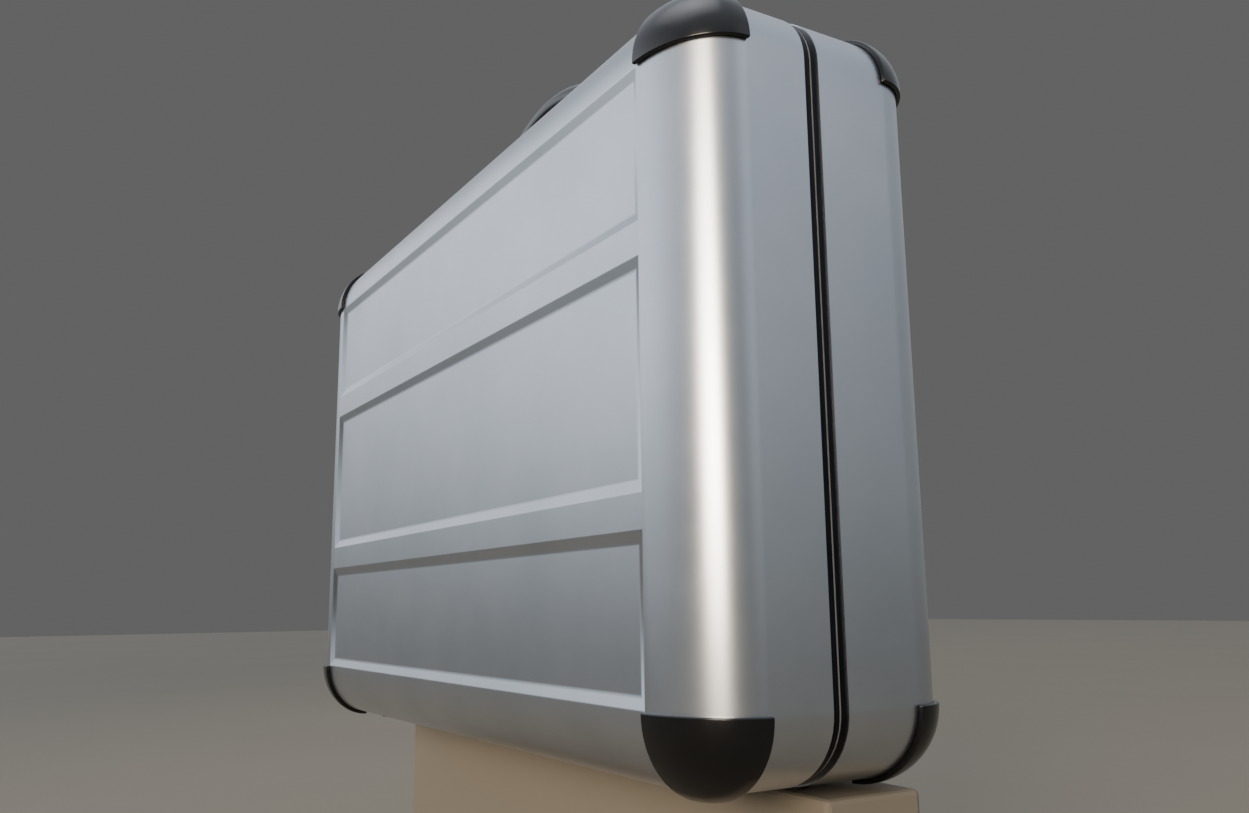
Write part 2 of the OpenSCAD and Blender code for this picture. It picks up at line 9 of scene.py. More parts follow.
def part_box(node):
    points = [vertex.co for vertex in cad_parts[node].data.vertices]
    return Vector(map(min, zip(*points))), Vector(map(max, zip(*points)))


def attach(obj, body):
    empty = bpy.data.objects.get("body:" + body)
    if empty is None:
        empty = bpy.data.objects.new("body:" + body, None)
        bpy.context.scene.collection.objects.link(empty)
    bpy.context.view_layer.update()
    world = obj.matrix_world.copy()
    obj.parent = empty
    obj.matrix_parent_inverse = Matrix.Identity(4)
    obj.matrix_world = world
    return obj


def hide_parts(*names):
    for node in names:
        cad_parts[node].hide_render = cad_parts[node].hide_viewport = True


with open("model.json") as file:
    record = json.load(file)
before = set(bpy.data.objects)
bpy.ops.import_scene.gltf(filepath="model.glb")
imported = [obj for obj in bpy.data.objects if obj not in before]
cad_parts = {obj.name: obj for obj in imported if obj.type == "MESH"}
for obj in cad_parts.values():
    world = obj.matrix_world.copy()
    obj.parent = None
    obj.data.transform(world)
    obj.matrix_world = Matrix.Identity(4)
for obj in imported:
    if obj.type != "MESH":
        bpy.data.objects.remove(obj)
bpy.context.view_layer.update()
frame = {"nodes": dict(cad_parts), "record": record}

# An aluminium attache case standing on its hinge side: lid in front, base behind, handle on top

mm = 0.001
hair = 0.01  # places closer than this, in millimetres, count as one

# Sizes that several pieces share, in millimetres; reach is how far the rounding goes along X, Y, Z.
# The lid is as deep as half says along Y, and the base a little deeper
case = {
    "half": (235.0, 57.0, 152.5),
    "baseExtra": 6.0,
    "reach": (37.5, 26.0, 30.0),
    "footHeight": 3.5,
    "wall": 1.6,
    "partingHalf": 3.5,
    "roundSteps": 14,
}
case["middle"] = case["footHeight"] + case["half"][2]
case["top"] = case["middle"] + case["half"][2]
case["field"] = tuple(half - reach for half, reach in zip(case["half"], case["reach"]))


def extraDepth(side):
    # How much farther from the parting a face of the base lies than the lid's
    return case["baseExtra"] if side > 0 else 0


# Nodes and colours

def linearColour(hexText):
    parts = [int(hexText[i:i + 2], 16) / 255 for i in (1, 3, 5)]
    return tuple(c / 12.92 if c <= 0.04045 else ((c + 0.055) / 1.055) ** 2.4 for c in parts) + (1,)


def addNode(tree, kind, inputs=None, **settings):
    node = tree.nodes.new(kind)
    for key, value in settings.items():
        setattr(node, key, value)
    for key, value in (inputs or {}).items():
        if isinstance(value, bpy.types.NodeSocket):
            tree.links.new(value, node.inputs[key])
        else:
            node.inputs[key].default_value = value
    return node


def startMaterial(name, metallic=0.0, roughness=0.5, **sockets):
    material = bpy.data.materials.new(name)
    material.use_nodes = True
    tree = material.node_tree
    shader = tree.nodes["Principled BSDF"]
    shader.inputs["Metallic"].default_value = metallic
    shader.inputs["Roughness"].default_value = roughness
    for key, value in sockets.items():
        shader.inputs[key.replace("_", " ")].default_value = value
    place = addNode(tree, "ShaderNodeTexCoord").outputs["Object"]
    return material, tree, shader, place


def noiseAt(tree, place, sizeMm, detail=2.0, stretch=(1, 1, 1)):
    mapping = addNode(tree, "ShaderNodeMapping", {"Vector": place, "Scale": stretch})
    noise = addNode(tree, "ShaderNodeTexNoise", {"Vector": mapping.outputs["Vector"],
                    "Scale": 1 / (sizeMm * mm), "Detail": detail, "Roughness": 0.55})
    return noise.outputs["Fac"]


def spread(tree, value, low, high, fromLow=0.3, fromHigh=0.7):
    # Most of a noise lies between 0.3 and 0.7
    node = addNode(tree, "ShaderNodeMapRange", {"Value": value, "From Min": fromLow,
                   "From Max": fromHigh, "To Min": low, "To Max": high})
    return node.outputs["Result"]


def mixColours(tree, factor, first, second):
    node = addNode(tree, "ShaderNodeMix", data_type="RGBA")
    tree.links.new(factor, node.inputs[0])
    node.inputs[6].default_value = linearColour(first)
    node.inputs[7].default_value = linearColour(second)
    return node.outputs[2]


def raiseBump(tree, shader, height, depthMm, strength=1.0):
    bump = addNode(tree, "ShaderNodeBump", {"Height": height, "Distance": depthMm * mm,
                                            "Strength": strength})
    tree.links.new(bump.outputs["Normal"], shader.inputs["Normal"])


# Selecting and editing

def deselectAll():
    if bpy.context.object and bpy.context.object.mode != "OBJECT":
        bpy.ops.object.mode_set(mode="OBJECT")
    bpy.ops.object.select_all(action="DESELECT")


def activate(piece):
    deselectAll()
    piece.select_set(True)
    bpy.context.view_layer.objects.active = piece


def startEdit(piece, selectMode="FACE", everything=False):
    activate(piece)
    bpy.ops.object.mode_set(mode="EDIT")
    bpy.ops.mesh.select_mode(type=selectMode)
    bpy.ops.mesh.select_all(action="SELECT" if everything else "DESELECT")


def endEdit():
    bpy.ops.object.mode_set(mode="OBJECT")


def pickFaces(piece, test):
    # test is given a face's middle in millimetres and its normal
    bpy.ops.mesh.select_all(action="DESELECT")
    mesh = bmesh.from_edit_mesh(piece.data)
    for face in mesh.faces:
        face.select_set(test(face.calc_center_median() / mm, face.normal))
    bmesh.update_edit_mesh(piece.data)


def pickEdges(piece, test):
    # test is given an edge's two ends in millimetres
    bpy.ops.mesh.select_all(action="DESELECT")
    mesh = bmesh.from_edit_mesh(piece.data)
    for edge in mesh.edges:
        if test(edge.verts[0].co / mm, edge.verts[1].co / mm):
            edge.select_set(True)
    bmesh.update_edit_mesh(piece.data)


def applyModifier(piece, kind, **settings):
    activate(piece)
    modifier = piece.modifiers.new(kind.title(), kind)
    for key, value in settings.items():
        setattr(modifier, key, value)
    bpy.ops.object.modifier_apply(modifier=modifier.name)


def easeEdges(piece, widthMm, segments=2, angle=40):
    applyModifier(piece, "BEVEL", width=widthMm * mm, segments=segments, limit_method="ANGLE",
                  angle_limit=math.radians(angle), use_clamp_overlap=True, harden_normals=False)


def smooth(piece, angle=30):
    activate(piece)
    bpy.ops.object.shade_smooth_by_angle(angle=math.radians(angle))
    applyModifier(piece, "WEIGHTED_NORMAL", keep_sharp=True)


def finishPiece(piece, body, slotName, material, *nodes):
    piece.data.materials.clear()
    piece.data.materials.append(material)
    if nodes:
        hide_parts(*nodes)
    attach(piece, body)
    return piece


def copyPiece(piece, name):
    activate(piece)
    bpy.ops.object.duplicate(linked=False)
    copy = bpy.context.object
    copy.name = copy.data.name = name
    return copy


def joinPieces(pieces, name):
    deselectAll()
    for piece in pieces:
        piece.select_set(True)
    bpy.context.view_layer.objects.active = pieces[0]
    bpy.ops.object.join()
    joined = bpy.context.object
    joined.name = joined.data.name = name
    return joined


def camelName(node):
    words = node.split("_")
    return words[0] + "".join(word.title() for word in words[1:])


def easedBlock(name, size, place, ease, segments):
    # size, place and ease are in millimetres
    deselectAll()
    bpy.ops.mesh.primitive_cube_add(size=1, location=[p * mm for p in place])
    block = bpy.context.object
    block.name = block.data.name = name
    block.scale = [s * mm for s in size]
    bpy.ops.object.transform_apply(location=True, rotation=False, scale=True)
    startEdit(block, "EDGE", everything=True)
    bpy.ops.mesh.bevel(offset=ease * mm, segments=segments, affect="EDGES")
    endEdit()
    return block


def roundedBlock(name, size, reach, steps):
    # Every rounding is modelled with radius 1, then stretched to its reach along each axis
    deselectAll()
    bpy.ops.mesh.primitive_cube_add(size=1, scale=[s / r for s, r in zip(size, reach)])
    block = bpy.context.object
    block.name = block.data.name = name
    bpy.ops.object.transform_apply(location=False, rotation=False, scale=True)
    startEdit(block, "EDGE", everything=True)
    bpy.ops.mesh.bevel(offset=1, segments=steps, profile=0.5, affect="EDGES", clamp_overlap=False)
    bpy.ops.mesh.select_all(action="SELECT")
    bpy.ops.transform.resize(value=[r * mm for r in reach], center_override=(0, 0, 0))
    bpy.ops.transform.translate(value=(0, 0, case["middle"] * mm))
    endEdit()
    return block


def cutAway(piece, point, normal):
    # Removes what lies on the normal's side of the plane
    startEdit(piece, everything=True)
    bpy.ops.mesh.bisect(plane_co=[p * mm for p in point], plane_no=normal, clear_outer=True)
    endEdit()


def outlineLoop(depth, inset, corner=None):
    # The case's outline moved in by inset, standing as a loop of edges at this depth
    corner = corner or (case["reach"][0] - inset, case["reach"][2] - inset)
    half = (case["half"][0] - inset, case["half"][2] - inset)
    deselectAll()
    bpy.ops.mesh.primitive_plane_add(size=2, rotation=(math.pi / 2, 0, 0))
    loop = bpy.context.object
    bpy.ops.object.transform_apply(location=False, rotation=True, scale=False)
    startEdit(loop, "VERT", everything=True)
    bpy.ops.transform.resize(value=(half[0] / corner[0], 1, half[1] / corner[1]),
                             center_override=(0, 0, 0))
    bpy.ops.mesh.bevel(offset=1, segments=case["roundSteps"], affect="VERTICES", clamp_overlap=False)
    bpy.ops.mesh.select_all(action="SELECT")
    bpy.ops.transform.resize(value=(corner[0] * mm, 1, corner[1] * mm), center_override=(0, 0, 0))
    bpy.ops.transform.translate(value=(0, depth * mm, case["middle"] * mm))
    bpy.ops.mesh.delete(type="ONLY_FACE")
    endEdit()
    return loop


def bridgeLoops(name, stations):
    # stations are (depth, inset) or (depth, inset, corner), in order round the ring's section;
    # every loop has the same points in the same order, so each edge meets its own next edge
    loops = [outlineLoop(*station) for station in stations]
    ring = loops[0]
    edges = [tuple(edge.vertices) for edge in ring.data.edges]
    mesh = bmesh.new()
    rows = [[mesh.verts.new(vertex.co) for vertex in loop.data.vertices] for loop in loops]
    for near, far in zip(rows, rows[1:] + rows[:1]):
        for a, b in edges:
            mesh.faces.new((near[a], near[b], far[b], far[a]))
    mesh.to_mesh(ring.data)
    mesh.free()
    for loop in loops[1:]:
        bpy.data.objects.remove(loop)
    ring.name = ring.data.name = name
    startEdit(ring, everything=True)
    bpy.ops.mesh.normals_make_consistent(inside=False)
    endEdit()
    return ring


# Camera, floor and light

view = {"place": (0.524216, -0.260139, 0.070030), "turn": 59.024, "tilt": 10.659,
        "roll": -0.6455, "lens": 30.606, "sensor": 36}


def standCamera():
    data = bpy.data.cameras.new("camera")
    data.sensor_width = view["sensor"]
    data.lens = view["lens"]
    data.clip_start = 0.01
    camera = bpy.data.objects.new("camera", data)
    bpy.context.scene.collection.objects.link(camera)
    turn = (Matrix.Rotation(math.radians(view["turn"]), 4, "Z")
            @ Matrix.Rotation(math.radians(90 + view["tilt"]), 4, "X")
            @ Matrix.Rotation(math.radians(view["roll"]), 4, "Z"))
    camera.matrix_world = Matrix.Translation(view["place"]) @ turn
    bpy.context.scene.camera = camera


# In metres, apart from the block's ease and the cloud's size
floor = {"size": 16.0, "drop": 0.09, "colour": "#837b6d", "darker": "#7c7466", "cloudMm": 400,
         "blockSize": (0.43, 0.047, 0.09), "blockFront": 0.009, "blockEaseMm": 2}


def layFloor():
    # The floor lies low enough for the lid to swing down; the base stands on a slim block
    deselectAll()
    bpy.ops.mesh.primitive_plane_add(size=floor["size"], location=(0, 0, -floor["drop"]))
    sheet = bpy.context.object
    sheet.name = "studioFloor"
    deselectAll()
    deep, tall = floor["blockSize"][1:]
    bpy.ops.mesh.primitive_cube_add(size=1, scale=floor["blockSize"],
                                    location=(0, floor["blockFront"] + deep / 2, -tall / 2))
    block = bpy.context.object
    block.name = "studioBlock"
    easeEdges(block, floor["blockEaseMm"])
    material, tree, shader, place = startMaterial("mattPaperFloor", roughness=0.8)
    cloud = noiseAt(tree, place, floor["cloudMm"])
    tree.links.new(mixColours(tree, cloud, floor["colour"], floor["darker"]),
                   shader.inputs["Base Color"])
    for piece in (sheet, block):
        piece.data.materials.append(material)


studio = {"zenith": "#dce4f0", "level": "#8f9291", "low": "#4a443a", "lowest": -0.3, "levelAt": 0.3,
          "highest": 0.9, "strength": 0.92, "glow": "#dfe4ee", "backdrop": "#646464",
          "backdropStrength": 1.0}

# A glow fades out from its middle, sooner along an axis where narrowing is larger
glows = ({"middle": (-0.7, -0.62, 0.34), "narrowing": (0.92, 0.92, 2.4), "power": 1.5},
         {"middle": (0.82, 0.38, 0.42), "narrowing": (2.0, 2.0, 1.5), "power": 0.45})

lampSpread = 56  # degrees
lamps = {
    "overheadSoftbox": {"place": (-0.3, -0.5, 2.6), "aim": (0, 0, 0.16), "size": (2.4, 2.0),
                        "power": 3, "colour": "#fbfcff"},
    "warmStrip": {"place": (1.36, -1.93, 1.5), "aim": (0, 0, 1.4), "size": (0.95, 2.6),
                  "power": 28, "colour": "#ffedd6"},
}


def hangLight(name, place, aim, size, power, colour):
    data = bpy.data.lights.new(name, "AREA")
    data.shape = "RECTANGLE"
    data.size, data.size_y = size
    data.energy = power
    data.spread = math.radians(lampSpread)
    data.color = linearColour(colour)[:3]
    light = bpy.data.objects.new(name, data)
    bpy.context.scene.collection.objects.link(light)
    light.location = place
    light.rotation_euler = (Vector(aim) - Vector(place)).to_track_quat("-Z", "Y").to_euler()


def lightStudio():
    # A soft sky with a broad glow to the front left and one behind; the camera sees a plain backdrop
    world = bpy.data.worlds.new("studioSky")
    bpy.context.scene.world = world
    world.use_nodes = True
    tree = world.node_tree
    heading = addNode(tree, "ShaderNodeTexCoord").outputs["Generated"]
    height = addNode(tree, "ShaderNodeSeparateXYZ", {"Vector": heading}).outputs["Z"]
    height = spread(tree, height, 0, 1, studio["lowest"], studio["highest"])
    ramp = addNode(tree, "ShaderNodeValToRGB", {"Fac": height})
    ramp.color_ramp.elements[0].color = linearColour(studio["low"])
    ramp.color_ramp.elements[1].color = linearColour(studio["zenith"])
    ramp.color_ramp.elements.new(studio["levelAt"]).color = linearColour(studio["level"])
    sky = tree.nodes["Background"]
    tree.links.new(ramp.outputs["Color"], sky.inputs["Color"])
    sky.inputs["Strength"].default_value = studio["strength"]
    around = sky.outputs[0]
    for glow in glows:
        away = addNode(tree, "ShaderNodeVectorMath", {0: heading, 1: glow["middle"]},
                       operation="SUBTRACT").outputs["Vector"]
        away = addNode(tree, "ShaderNodeVectorMath", {0: away, 1: glow["narrowing"]},
                       operation="MULTIPLY").outputs["Vector"]
        away = addNode(tree, "ShaderNodeVectorMath", {0: away}, operation="LENGTH")
        amount = addNode(tree, "ShaderNodeMapRange",
                         {"Value": away.outputs["Value"], "From Min": 1.0, "From Max": 0.0,
                          "To Max": glow["power"]}, interpolation_type="SMOOTHSTEP")
        light = addNode(tree, "ShaderNodeBackground", {"Color": linearColour(studio["glow"]),
                                                       "Strength": amount.outputs["Result"]})
        around = addNode(tree, "ShaderNodeAddShader", {0: around, 1: light.outputs[0]}).outputs[0]
    backdrop = addNode(tree, "ShaderNodeBackground", {"Color": linearColour(studio["backdrop"]),
                                                      "Strength": studio["backdropStrength"]})
    seen = addNode(tree, "ShaderNodeLightPath").outputs["Is Camera Ray"]
    either = addNode(tree, "ShaderNodeMixShader", {0: seen, 1: around, 2: backdrop.outputs[0]})
    tree.links.new(either.outputs[0], tree.nodes["World Output"].inputs["Surface"])
    for name, lamp in lamps.items():
        hangLight(name, **lamp)


# Finishes

def satinAnodisedAluminium():
    # Blasted and clear anodised sheet: a soft, even sheen with a fine grain and faint handling marks.
    # The grain of a tenth of a millimetre is drawn coarser, so that it shows
    grain = {"sizeMm": 0.5, "depthMm": 0.006}
    material, tree, shader, place = startMaterial("satinAnodisedAluminium", metallic=1.0)
    cloud = noiseAt(tree, place, 60, detail=3)
    tree.links.new(mixColours(tree, spread(tree, cloud, 0, 1), "#c9cdd3", "#bfc4cb"),
                   shader.inputs["Base Color"])
    marks = noiseAt(tree, place, 9, detail=5)
    tree.links.new(spread(tree, marks, 0.275, 0.29), shader.inputs["Roughness"])
    raiseBump(tree, shader, noiseAt(tree, place, grain["sizeMm"]), grain["depthMm"])
    return material


def blackAnodisedExtrusion():
    # Extruded aluminium dyed black: dark satin metal with faint draw lines along its length
    material, tree, shader, place = startMaterial("blackAnodisedExtrusion", metallic=1.0)
    lines = noiseAt(tree, place, 1.2, stretch=(0.05, 1, 0.05))
    tree.links.new(mixColours(tree, spread(tree, lines, 0, 1), "#222327", "#2c2d31"),
                   shader.inputs["Base Color"])
    tree.links.new(spread(tree, lines, 0.34, 0.42), shader.inputs["Roughness"])
    raiseBump(tree, shader, lines, 0.01)
    return material


def mouldedPlastic(name, dark, light, rough):
    # Injection-moulded ABS or nylon, black all through: glossy skin over a very slight orange peel
    material, tree, shader, place = startMaterial(name, IOR=1.53)
    cloud = noiseAt(tree, place, 25, detail=3)
    tree.links.new(mixColours(tree, spread(tree, cloud, 0, 1), dark, light),
                   shader.inputs["Base Color"])
    tree.links.new(spread(tree, noiseAt(tree, place, 6, detail=4), rough, rough + 0.06),
                   shader.inputs["Roughness"])
    raiseBump(tree, shader, noiseAt(tree, place, 2.5), 0.008)
    return material


def pressedRubber(name, dark, light):
    # Extruded or pressed rubber: matt black with a dusty bloom
    material, tree, shader, place = startMaterial(name, IOR=1.5)
    bloom = noiseAt(tree, place, 7, detail=4)
    tree.links.new(mixColours(tree, spread(tree, bloom, 0, 1), dark, light),
                   shader.inputs["Base Color"])
    tree.links.new(spread(tree, bloom, 0.62, 0.78), shader.inputs["Roughness"])
    raiseBump(tree, shader, noiseAt(tree, place, 0.6), 0.02)
    return material


def wovenCloth(name, threadMm, dark, light):
    # Plain-weave polyester: threads cross along X and Z, each a small round ridge with a little sheen.
    # They are drawn wider than real ones, so that they show
    material, tree, shader, place = startMaterial(name, roughness=0.85, IOR=1.5, Sheen_Weight=0.35,
                                                  Sheen_Roughness=0.5)
    axes = addNode(tree, "ShaderNodeSeparateXYZ", {"Vector": place}).outputs
    threads = []
    for axis in "XZ":
        turns = addNode(tree, "ShaderNodeMath", {0: axes[axis], 1: math.pi / (threadMm * mm)},
                        operation="MULTIPLY").outputs[0]
        threads.append(addNode(tree, "ShaderNodeMath", {0: turns}, operation="SINE").outputs[0])
    crossing = addNode(tree, "ShaderNodeMath", {0: threads[0], 1: threads[1]},
                       operation="MULTIPLY").outputs[0]
    worn = noiseAt(tree, place, 40, detail=3)
    weave = spread(tree, crossing, 0, 1, -1, 1)
    shade = addNode(tree, "ShaderNodeMath", {0: weave, 1: spread(tree, worn, 0.7, 1.0)},
                    operation="MULTIPLY").outputs[0]
    tree.links.new(mixColours(tree, shade, dark, light), shader.inputs["Base Color"])
    raiseBump(tree, shader, weave, threadMm * 0.25)
    return material


def satinNickelPlate():
    # Die-cast zinc, brushed and nickel plated: bright warm grey with lines along X, drawn coarser than
    # real ones, so that they show
    material, tree, shader, place = startMaterial("satinNickelPlate", metallic=1.0)
    brushing = noiseAt(tree, place, 0.35, detail=3, stretch=(0.04, 1, 1))
    tree.links.new(mixColours(tree, spread(tree, noiseAt(tree, place, 12), 0, 1),
                              "#cfcdc8", "#bcbab5"), shader.inputs["Base Color"])
    tree.links.new(spread(tree, brushing, 0.2, 0.34), shader.inputs["Roughness"])
    raiseBump(tree, shader, brushing, 0.004)
    return material


def zincPlatedSteel():
    # Stamped and turned steel, zinc plated: cool grey with a cloudy passivated skin
    material, tree, shader, place = startMaterial("zincPlatedSteel", metallic=1.0)
    cloud = noiseAt(tree, place, 4, detail=4)
    tree.links.new(mixColours(tree, spread(tree, cloud, 0, 1), "#a8aaae", "#8f9298"),
                   shader.inputs["Base Color"])
    tree.links.new(spread(tree, cloud, 0.28, 0.42), shader.inputs["Roughness"])
    raiseBump(tree, shader, noiseAt(tree, place, 0.8), 0.006)
    return material


def nickelledBrass():
    # Turned brass wheels, nickel plated: bright, with turning lines round the axle that are drawn
    # coarser than real ones, so that they show
    material, tree, shader, place = startMaterial("nickelledBrass", metallic=1.0)
    turning = noiseAt(tree, place, 0.25, stretch=(1, 0.05, 0.05))
    tree.links.new(mixColours(tree, turning, "#d8d5cd", "#c6c3ba"), shader.inputs["Base Color"])
    tree.links.new(spread(tree, turning, 0.18, 0.3), shader.inputs["Roughness"])
    raiseBump(tree, shader, turning, 0.004)
    return material


def digitPaint():
    # Black enamel filled into the wheels' engraved digits
    material, tree, shader, place = startMaterial("digitEnamel", IOR=1.5)
    cloud = noiseAt(tree, place, 1.5)
    tree.links.new(mixColours(tree, cloud, "#101012", "#1b1b1e"), shader.inputs["Base Color"])
    tree.links.new(spread(tree, cloud, 0.35, 0.5), shader.inputs["Roughness"])
    return material


# Shells, frames and seal

# Each big face has three sunk panels, sidePanel being the height of the outer two
shell = {"sidePanel": 63.4, "rib": 13.8, "depth": 1.8, "bevel": 4.5, "land": 0.3,
         "outerEase": 0.28, "innerEase": 0.9, "edgeEase": 0.3}


def pressedShell(name, side):
    # side is -1 for the lid, in front, and 1 for the base
    face = side * case["half"][1] + extraDepth(side)
    body = roundedBlock(name, [2 * case["half"][0], 2 * abs(face), 2 * case["half"][2]],
                        case["reach"], case["roundSteps"])
    cutAway(body, (0, side * case["partingHalf"], 0), (0, -side, 0))

    def onFace(middle):
        return abs(middle.y - face) < hair

    def inField(middle):
        return (onFace(middle) and abs(middle.x) < hair
                and abs(middle.z - case["middle"]) < case["field"][2] - shell["land"])

    startEdit(body)
    pickFaces(body, lambda middle, normal: onFace(middle))
    bpy.ops.mesh.inset(thickness=shell["land"] * mm, depth=0)
    high = case["field"][2] - shell["land"] - shell["sidePanel"]
    for z in (-high, shell["rib"] - high, high - shell["rib"], high):
        pickFaces(body, lambda middle, normal: inField(middle))
        bpy.ops.mesh.bisect(plane_co=(0, 0, (case["middle"] + z) * mm), plane_no=(0, 0, 1))

    def isRib(middle):
        return high - shell["rib"] < abs(middle.z - case["middle"]) < high

    pickFaces(body, lambda middle, normal: inField(middle) and not isRib(middle))
    bpy.ops.mesh.inset(thickness=shell["bevel"] * mm, depth=-shell["depth"] * mm,
                       use_individual=True)
    sunk = face - side * shell["depth"]
    pickEdges(body, lambda a, b: abs(a.y - sunk) < hair and abs(b.y - sunk) < hair)
    bpy.ops.mesh.bevel(offset=shell["innerEase"] * mm, segments=3, affect="EDGES")

    def isPanelRim(a, b):
        # Both ends on the face, on a panel's outline
        edgeX = case["field"][0] - shell["land"]
        edgesZ = (high, high - shell["rib"], case["field"][2] - shell["land"])
        flat = abs(a.y - face) < hair and abs(b.y - face) < hair
        upright = abs(abs(a.x) - edgeX) < hair and abs(a.x - b.x) < hair
        level = (abs(a.z - b.z) < hair
                 and min(abs(abs(a.z - case["middle"]) - z) for z in edgesZ) < hair)
        onRib = upright and isRib((a + b) / 2)
        return flat and (upright or level) and not onRib and abs(a.x) < edgeX + hair

    pickEdges(body, isPanelRim)
    bpy.ops.mesh.bevel(offset=shell["outerEase"] * mm, segments=2, affect="EDGES")
    endEdit()
    applyModifier(body, "SOLIDIFY", thickness=case["wall"] * mm, offset=-1, use_even_offset=True)
    easeEdges(body, shell["edgeEase"], angle=60)
    smooth(body, 35)
    return body


# Insets, and the seal's outer and inner, are measured in from the outline, the rest from the parting;
# knuckle is a radius
profile = {"lipInset": 0.6, "lipStart": 0.5, "flangeInset": 1.65, "flangeEnd": 14.0,
           "mouthInset": 4.1, "mouthCorner": (50, 42), "ease": 0.3}
seal = {"near": -0.2, "far": 1.6, "outer": 1.0, "inner": 3.3, "beadInset": 0.7, "beadEnd": 0.49,
        "ease": 0.12}
hingePlace = {"x": 125, "length": 60, "knuckle": 2.6, "gap": 0.3, "slack": 0.5}


def notchForHinges(piece):
    cutters = []
    for side in (-1, 1):
        deselectAll()
        bpy.ops.mesh.primitive_cylinder_add(
            vertices=64, radius=(hingePlace["knuckle"] + hingePlace["gap"]) * mm,
            depth=(hingePlace["length"] + 2 * hingePlace["slack"]) * mm,
            location=(side * hingePlace["x"] * mm, 0, case["footHeight"] * mm),
            rotation=(0, math.pi / 2, 0))
        cutters.append(bpy.context.object)
    cutter = joinPieces(cutters, "notchCutter")
    applyModifier(piece, "BOOLEAN", operation="DIFFERENCE", solver="EXACT", object=cutter)
    bpy.data.objects.remove(cutter)


def extrudedFrame(name, side):
    grooved = side > 0  # only the base's frame carries the seal
    lipStart, lipInset = profile["lipStart"], profile["lipInset"]
    flangeEnd, flangeInset = profile["flangeEnd"], profile["flangeInset"]
    outer = [(lipStart, lipInset), (case["partingHalf"], lipInset),
             (case["partingHalf"], flangeInset), (flangeEnd, flangeInset)]
    inner = [(flangeEnd, profile["mouthInset"], profile["mouthCorner"]),
             (lipStart, profile["mouthInset"], profile["mouthCorner"])]
    groove = [(lipStart, seal["inner"]), (seal["far"], seal["inner"]),
              (seal["far"], seal["outer"]), (lipStart, seal["outer"])]
    stations = outer + inner + (groove if grooved else [])
    ring = bridgeLoops(name, [(side * depth, *rest) for depth, *rest in stations])
    notchForHinges(ring)
    easeEdges(ring, profile["ease"])
    smooth(ring)
    return ring


def pressedSeal():
    # The bead stands in the gap between the frames' lips, the foot in the base frame's groove
    ring = bridgeLoops("gasketStrip", [
        (seal["near"], seal["beadInset"]), (seal["beadEnd"], seal["beadInset"]),
        (seal["beadEnd"], seal["outer"]), (seal["far"], seal["outer"]),
        (seal["far"], seal["inner"]), (seal["near"], seal["inner"])])
    notchForHinges(ring)
    easeEdges(ring, seal["ease"])
    smooth(ring)
    return ring


# Corner guards

guard = {"proud": 2.2, "thickness": 2.0, "ease": 0.55, "moreSteps": 4}


def cornerGuards():
    # One corner is modelled, then copied to the other seven
    proud = guard["proud"]
    first = roundedBlock("guardPattern", [2 * (half + proud) for half in case["half"]],
                         [reach + proud for reach in case["reach"]],
                         case["roundSteps"] + guard["moreSteps"])
    field = case["field"]
    cutAway(first, (field[0], 0, 0), (-1, 0, 0))
    cutAway(first, (0, -field[1], 0), (0, 1, 0))
    cutAway(first, (0, 0, case["middle"] + field[2]), (0, 0, -1))
    made = []
    for half, sy in (("lid", -1), ("base", 1)):
        for level, sz in (("top", 1), ("bottom", -1)):
            for hand, sx in (("left", -1), ("right", 1)):
                copy = copyPiece(first, f"cornerGuard_{half}_{level}_{hand}")
                startEdit(copy, everything=True)
                bpy.ops.transform.resize(value=(sx, -sy, sz),
                                         center_override=(0, 0, case["middle"] * mm))
                bpy.ops.transform.translate(value=(0, extraDepth(sy) * mm, 0))
                if sx * -sy * sz < 0:
                    bpy.ops.mesh.flip_normals()
                endEdit()
                applyModifier(copy, "SOLIDIFY", thickness=guard["thickness"] * mm, offset=-1,
                              use_even_offset=True)
                easeEdges(copy, guard["ease"], segments=3, angle=50)
                smooth(copy, 35)
                made.append((copy, half, f"guard_{half}_{level}_{hand}"))
    bpy.data.objects.remove(first)
    return made


# Handle

# arc and corner are radii of the bow's centre line, rise and legEnd heights over the case's top
grip = {"y": 11.5, "arc": 100, "corner": 24, "halfArc": 22.5, "thick": 13, "wide": 18,
        "rise": 59, "legEnd": 17, "sideRound": 7.5, "sideFlat": 0.04, "endInset": 1.2, "ease": 0.8}


